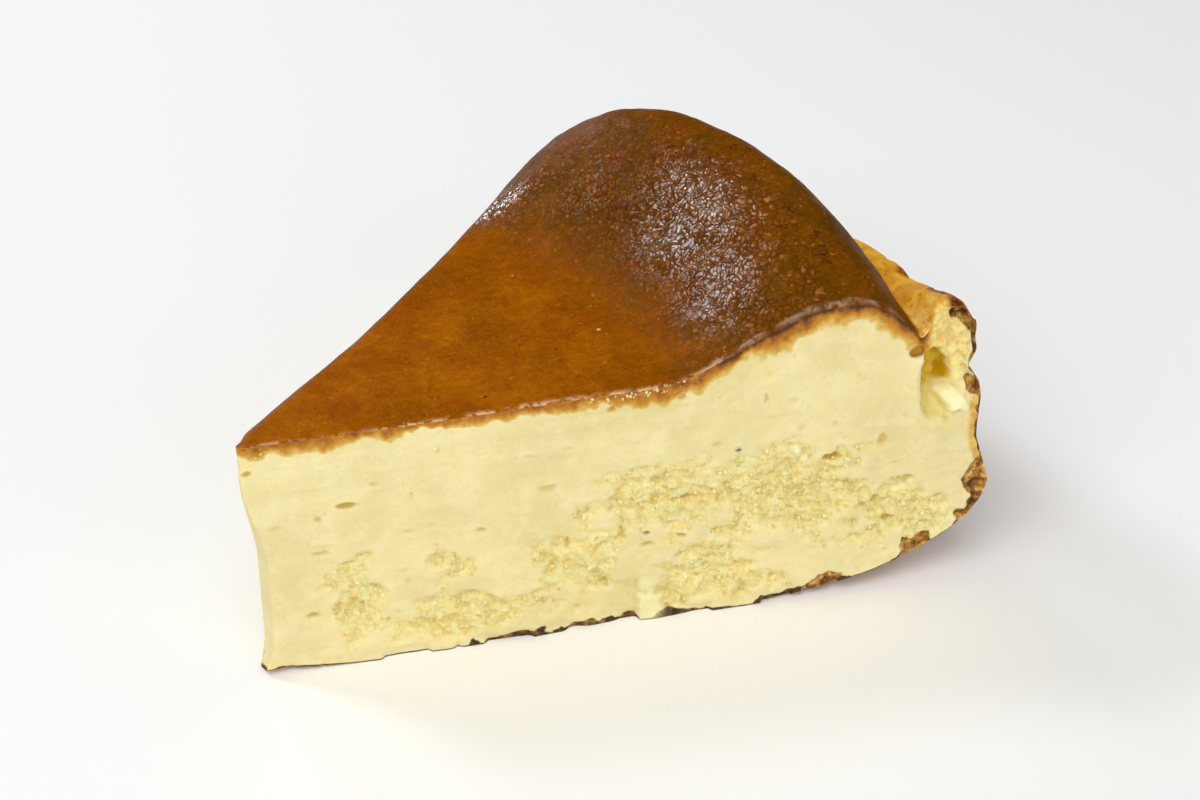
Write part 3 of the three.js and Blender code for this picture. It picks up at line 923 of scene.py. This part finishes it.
def pebbles(skin):
    """The blisters' gaps, domes and larger beads, and how much they show."""
    uneven = skin.times("blister", skin.ease(skin.noise(4, 3), 0.38, 0.6, 0.5, 1))
    shown = skin.times(uneven, skin.ease("gloss", 0.08, 0.5, 0.7, 1))
    place = skin.wavering(2.0, 1.1)
    return SimpleNamespace(
        uneven=uneven, shown=shown, place=place,
        gap=skin.ease(skin.cells(PEBBLE, place, "DISTANCE_TO_EDGE"), 0.16, 0.02),
        dome=skin.ease(skin.cells(PEBBLE, place), 0.6, 0),
        bead=skin.times(skin.ease(skin.cells(BEAD, place), 0.28, 0.12), shown),
    )


def pebble_tint_and_sheen(skin, tint, pebble):
    # Darker in the gaps between blisters; painted sheen where the skin is glossy: lighter dome middles, and
    # lighter beads, partly the blisters' pale colour and partly painted glints.
    tint = skin.mix(skin.times(pebble.gap, pebble.shown, 0.6), tint, (78, 32, 8))
    tint = skin.mix(skin.times(pebble.dome, pebble.shown, 0.16), tint, (196, 134, 84))
    return skin.mix(skin.times(pebble.bead, 0.6), tint, (204, 132, 78))


def pebbled_relief(skin, pebble):
    relief = skin.bump(skin.noise(2.0, 4, 0.65), 0.5, "lip")
    relief = skin.bump(skin.noise(2.4, 3), 0.1, skin.ease("blister", 0, 1, 0.2, 1), relief)
    relief = skin.bump(skin.facets(2 * PEBBLE, 0.14, pebble.place), 1, pebble.uneven, relief)
    relief = skin.bump(skin.facets(PEBBLE, 0.22, pebble.place), 1, pebble.uneven, relief)
    relief = skin.bump(pebble.dome, 0.05, pebble.uneven, relief)
    relief = skin.bump(pebble.bead, 0.16, 1, relief)
    return skin.bump(skin.noise(0.35, 2), 0.025, skin.ease("blister", 0, 1, 0.25, 0.8), relief)


def lip_tint(skin, tint):
    """Gold on the lip's inner side, palest at the near cut, and toasted over its crest."""
    gold = skin.mix("lip_pale", (242, 184, 60), (255, 236, 140))
    gold = skin.cover(gold, (216, 142, 34), skin.noise(7, 3), 0.42, 0.6, 0.6)
    gold = skin.cover(gold, (222, 148, 26), skin.noise(2.4, 4, 0.65), 0.46, 0.6, 0.7)
    gold = skin.cover(gold, (182, 112, 14), skin.noise(1.1, 4, 0.7), 0.56, 0.66, 0.7)
    tint = skin.mix("lip", tint, gold)
    capped = skin.cover((84, 44, 12), (168, 100, 34), skin.noise(1.8, 4, 0.65), 0.42, 0.6)
    return skin.mix("outer", tint, capped)


def edge_tint(skin, tint):
    """The painted highlight along the near edge, and the darker far edge."""
    # worn is the tint of the painted highlight: pale peach, greyer over the swollen ring, with darker flecks.
    worn = skin.mix("edge_highlight_grey", (244, 204, 158), (172, 144, 122))
    worn = skin.cover(worn, (138, 86, 44), skin.noise(0.9, 3, 0.7), 0.5, 0.62)
    tint = skin.mix("edge", tint, worn)
    return skin.mix("far_edge", tint, (84, 50, 20))


def baked_skin():
    """The glossy top: amber in the sunken middle, darker and pebbled with blisters on the swollen ring."""
    skin = Shader("baked_skin")
    pebble = pebbles(skin)
    tint = pebble_tint_and_sheen(skin, toasted_tint(skin), pebble)
    tint = edge_tint(skin, lip_tint(skin, tint))
    relief = pebbled_relief(skin, pebble)
    closed = skin.math("SUBTRACT", 1, skin.times(pebble.gap, "blister", 0.85))
    wet = skin.times("blister", "gloss", closed)
    return skin.finish(
        Base_Color=tint, Normal=relief, Coat_Normal=relief, Specular_IOR_Level=0.02,
        Roughness=skin.ease(skin.noise(2.0, 3, 0.6), 0.3, 0.7, 0.36, 0.48),
        Coat_Weight=skin.ease(wet, 0.08, 0.9), Coat_Roughness=0.17,
    )


def creamy_tint(curd, ragged):
    """Cream where the knife slid, and paler, yellower flakes with wet patches where it tore, lighter and
    darker flake by flake as painted light and shade.
    """
    tint = curd.cover((231, 216, 156), (241, 227, 169), curd.noise(14, 2), 0.35, 0.65)
    tint = curd.cover(tint, (247, 236, 188), curd.noise(3.2, 4, 0.6), 0.42, 0.68, 0.5)
    tint = curd.cover(tint, (224, 204, 138), curd.noise(0.7, 3, 0.65), 0.5, 0.72, 0.35)
    # Each torn flake gets its own brightness: painted light and shade standing for the torn relief, over the
    # paler, yellower torn curd.
    flakes = curd.math("ADD", curd.voronoi(1.3, ragged)["Color"], curd.voronoi(0.6, ragged)["Color"])
    shaded_flakes = curd.ramp(
        curd.times(flakes, 0.5), (0.2, (236, 210, 126)), (0.4, (246, 225, 144)), (0.58, (253, 237, 162)),
        (0.8, (255, 249, 190)),
    )
    tint = curd.mix(curd.times("torn", 0.8), tint, shaded_flakes)
    wetter = curd.ease(curd.noise(1.7, 3, 0.6, curd.moved(13)), 0.58, 0.66, 0, 0.7)
    tint = curd.mix(curd.times(wetter, curd.ease("torn", 0.2, 0.8)), tint, (218, 194, 100))
    # Yellower and darker where the torn curd lies deeper: painted shade in the hollows.
    tint = curd.cover(tint, (230, 204, 116), "depth", 0.6, 1.5, 0.6)
    return curd.cover(tint, (208, 174, 72), "pore", 0.05, 1, 0.95)


def browned_tint(curd, tint):
    """Caramel under the skin, gold at the side's edge, and the dark line of the crust."""
    mottled = curd.add_swing("browned", curd.noise(1.6, 4, 0.65), curd.ease("browned", 0, 0.3, 0, 0.8))
    caramel = curd.ramp(
        mottled, (0.1, (234, 215, 146)), (0.3, (222, 186, 96)), (0.5, (204, 150, 44)),
        (0.66, (184, 118, 22)), (0.82, (138, 82, 16)), (0.95, (80, 44, 12)),
    )
    tint = curd.cover(tint, caramel, mottled, 0.08, 0.26)
    gilt = curd.cover((232, 194, 98), (206, 154, 56), curd.noise(3.2, 4, 0.6), 0.4, 0.62)
    tint = curd.mix("gilt", tint, gilt)
    rough = curd.noise(1, 4, 0.7)
    line = curd.ramp(rough, (0.38, (44, 30, 14)), (0.52, (96, 66, 28)), (0.64, (168, 128, 66)))
    return curd.cover(tint, line, "rind", 0.1, 0.55)


def rim_tint(curd, tint):
    """The honey-coloured pocket, the torn wall beside it, pale broken bits, the hole, crust and specks."""
    honey = curd.cover((232, 200, 60), (202, 160, 8), curd.noise(2.0, 3), 0.42, 0.6)
    honey = curd.mix("pocket_foot", honey, (230, 214, 134))
    tint = curd.cover(tint, honey, "pocket", 0.05, 0.7)
    golden = curd.cover((252, 232, 150), (232, 192, 92), curd.noise(1.8, 4, 0.65), 0.46, 0.62)
    tint = curd.cover(tint, golden, "fleshy", 0, 1, 0.75)
    tint = curd.mix("bright", tint, (255, 246, 196))
    amber = curd.cover((150, 100, 22), (196, 140, 36), "hole", 0.55, 0.85)
    tint = curd.cover(tint, amber, "hole", 0.1, 0.6)
    crusty = curd.ramp(
        curd.noise(1.5, 4, 0.7), (0.36, (66, 38, 12)), (0.44, (122, 78, 22)), (0.53, (172, 120, 40)),
        (0.64, (226, 190, 108)),
    )
    tint = curd.cover(tint, crusty, "crust", 0.1, 0.55)
    return curd.mix("speck", tint, (60, 36, 20))


def curd_relief(curd, ragged):
    relief = curd.bump(curd.noise(1.6, 4, 0.6), 0.25, curd.ease("torn", 0, 1, 0.1, 0.6))
    relief = curd.bump(curd.facets(1.3, 0.22, ragged), 1, "torn", relief)
    relief = curd.bump(curd.facets(0.6, 0.3, ragged), 1, "torn", relief)
    return curd.bump(curd.noise(0.4, 3, 0.6), 0.06, curd.ease("torn", 0, 1, 0.4, 1), relief)


def cut_curd():
    """The cream inside: smooth where the knife slid, crumbly where it tore, caramel under the skin."""
    curd = Shader("cut_curd")
    ragged = curd.wavering(1.2, 0.9)
    tint = browned_tint(curd, creamy_tint(curd, ragged))
    return curd.finish(
        Base_Color=rim_tint(curd, tint), Normal=curd_relief(curd, ragged),
        Subsurface_Weight=curd.ease("loose", 0, 1, 0.5, 0),
        Subsurface_Radius=(1, 0.75, 0.35), Subsurface_Scale=1 * MM,
        Roughness=curd.ease("pocket", 0, 1, 0.55, 0.25), Specular_IOR_Level=0.3,
    )


def papered_side():
    """The side and underside: brown on the folds of the lining paper, pale gold in their creases."""
    side = Shader("papered_side")
    middling = side.noise(2.6, 4, 0.6)
    tone = side.math("ADD", side.times(side.noise(9, 3), 0.6), side.times(middling, 0.5))
    tint = side.ramp(
        tone, (0.28, (226, 176, 96)), (0.45, (196, 134, 58)), (0.6, (158, 96, 34)), (0.8, (104, 58, 22)),
    )
    tint = side.cover(tint, (238, 204, 130), "crease", 0.25, 0.9, 0.8)
    tint = side.cover(tint, (96, 52, 20), side.noise(0.7, 3, 0.6), 0.56, 0.7, 0.5)
    relief = side.bump(side.noise(1.4, 4, 0.6), 0.35, 0.5)
    return side.finish(
        Base_Color=tint, Normal=side.bump(side.noise(0.5, 3), 0.12, 0.5, relief),
        Roughness=side.ease(middling, 0.3, 0.7, 0.5, 0.7), Specular_IOR_Level=0.35,
    )


# ==== floor, light and camera
def make_floor():
    corners = [(x * FLOOR_HALF, y * FLOOR_HALF, 0) for x, y in ((-1, -1), (1, -1), (1, 1), (-1, 1))]
    paint = Shader("pale_floor")
    material = paint.finish(Base_Color=colour(252, 252, 251), Roughness=0.8, Specular_IOR_Level=0.2)
    floor = mesh_piece("floor", corners, [[(0, 1, 2, 3)]], [material])


def direction(heading, rise):
    """A unit vector whose heading runs from +X towards +Y, both angles in degrees."""
    heading, rise = math.radians(heading), math.radians(rise)
    level = math.cos(rise)
    return Vector((level * math.cos(heading), level * math.sin(heading), math.sin(rise)))


def stand(name, data, location, turned):
    """Puts a lamp or a camera in its place."""
    thing = bpy.data.objects.new(name, data)
    thing.location = location
    thing.rotation_mode = "QUATERNION"
    thing.rotation_quaternion = turned
    bpy.context.scene.collection.objects.link(thing)
    return thing


def make_lights():
    """Square lamps that all face the slice, in a faintly lit white room."""
    for name, azimuth, elevation, distance, size, power, tint in LAMPS:
        lamp = bpy.data.lights.new(name, "AREA")
        lamp.size = size
        lamp.energy = power
        lamp.color = tint
        way = direction(azimuth, elevation)
        stand(name, lamp, way * distance + Vector((0, 0, TIP_HEIGHT * MM)), way.to_track_quat("Z", "Y"))
    world = bpy.data.worlds.new("soft_room")
    world.use_nodes = True
    world.node_tree.nodes["Background"].inputs["Color"].default_value = (*WHITE, 1)
    world.node_tree.nodes["Background"].inputs["Strength"].default_value = ROOM_LIGHT
    bpy.context.scene.world = world


def make_camera():
    data = bpy.data.cameras.new("camera")
    data.sensor_width = SENSOR_WIDTH
    data.lens = SENSOR_WIDTH * FOCAL_PIXELS / IMAGE_WIDTH
    forward = direction(CAMERA_HEADING, -CAMERA_DROP)
    bpy.context.scene.camera = stand("camera", data, CAMERA_PLACE * MM, forward.to_track_quat("-Z", "Y"))


def build_slice():
    """The wedge and its crumbs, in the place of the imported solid."""
    shares, groups = slice_grid()
    points, spots, marks = fine_slice(*shares.T)
    place = points + [CAD_LOW.x / MM - points[:, 0].min(), 0, 0]
    materials = [baked_skin(), cut_curd(), papered_side()]
    tints = colour_marks(spots, marks)
    slice_piece = mesh_piece("cheesecake_slice_fine", (place * MM).tolist(), groups, materials, tints)
    crumbs_piece = make_crumbs(place, spots, marks, materials[1])
    for piece in (slice_piece, crumbs_piece):
        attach(piece, "root")
    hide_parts("cheesecake_slice")


bpy.context.scene.view_settings.view_transform = "Standard"
build_slice()
make_floor()
make_lights()
make_camera()
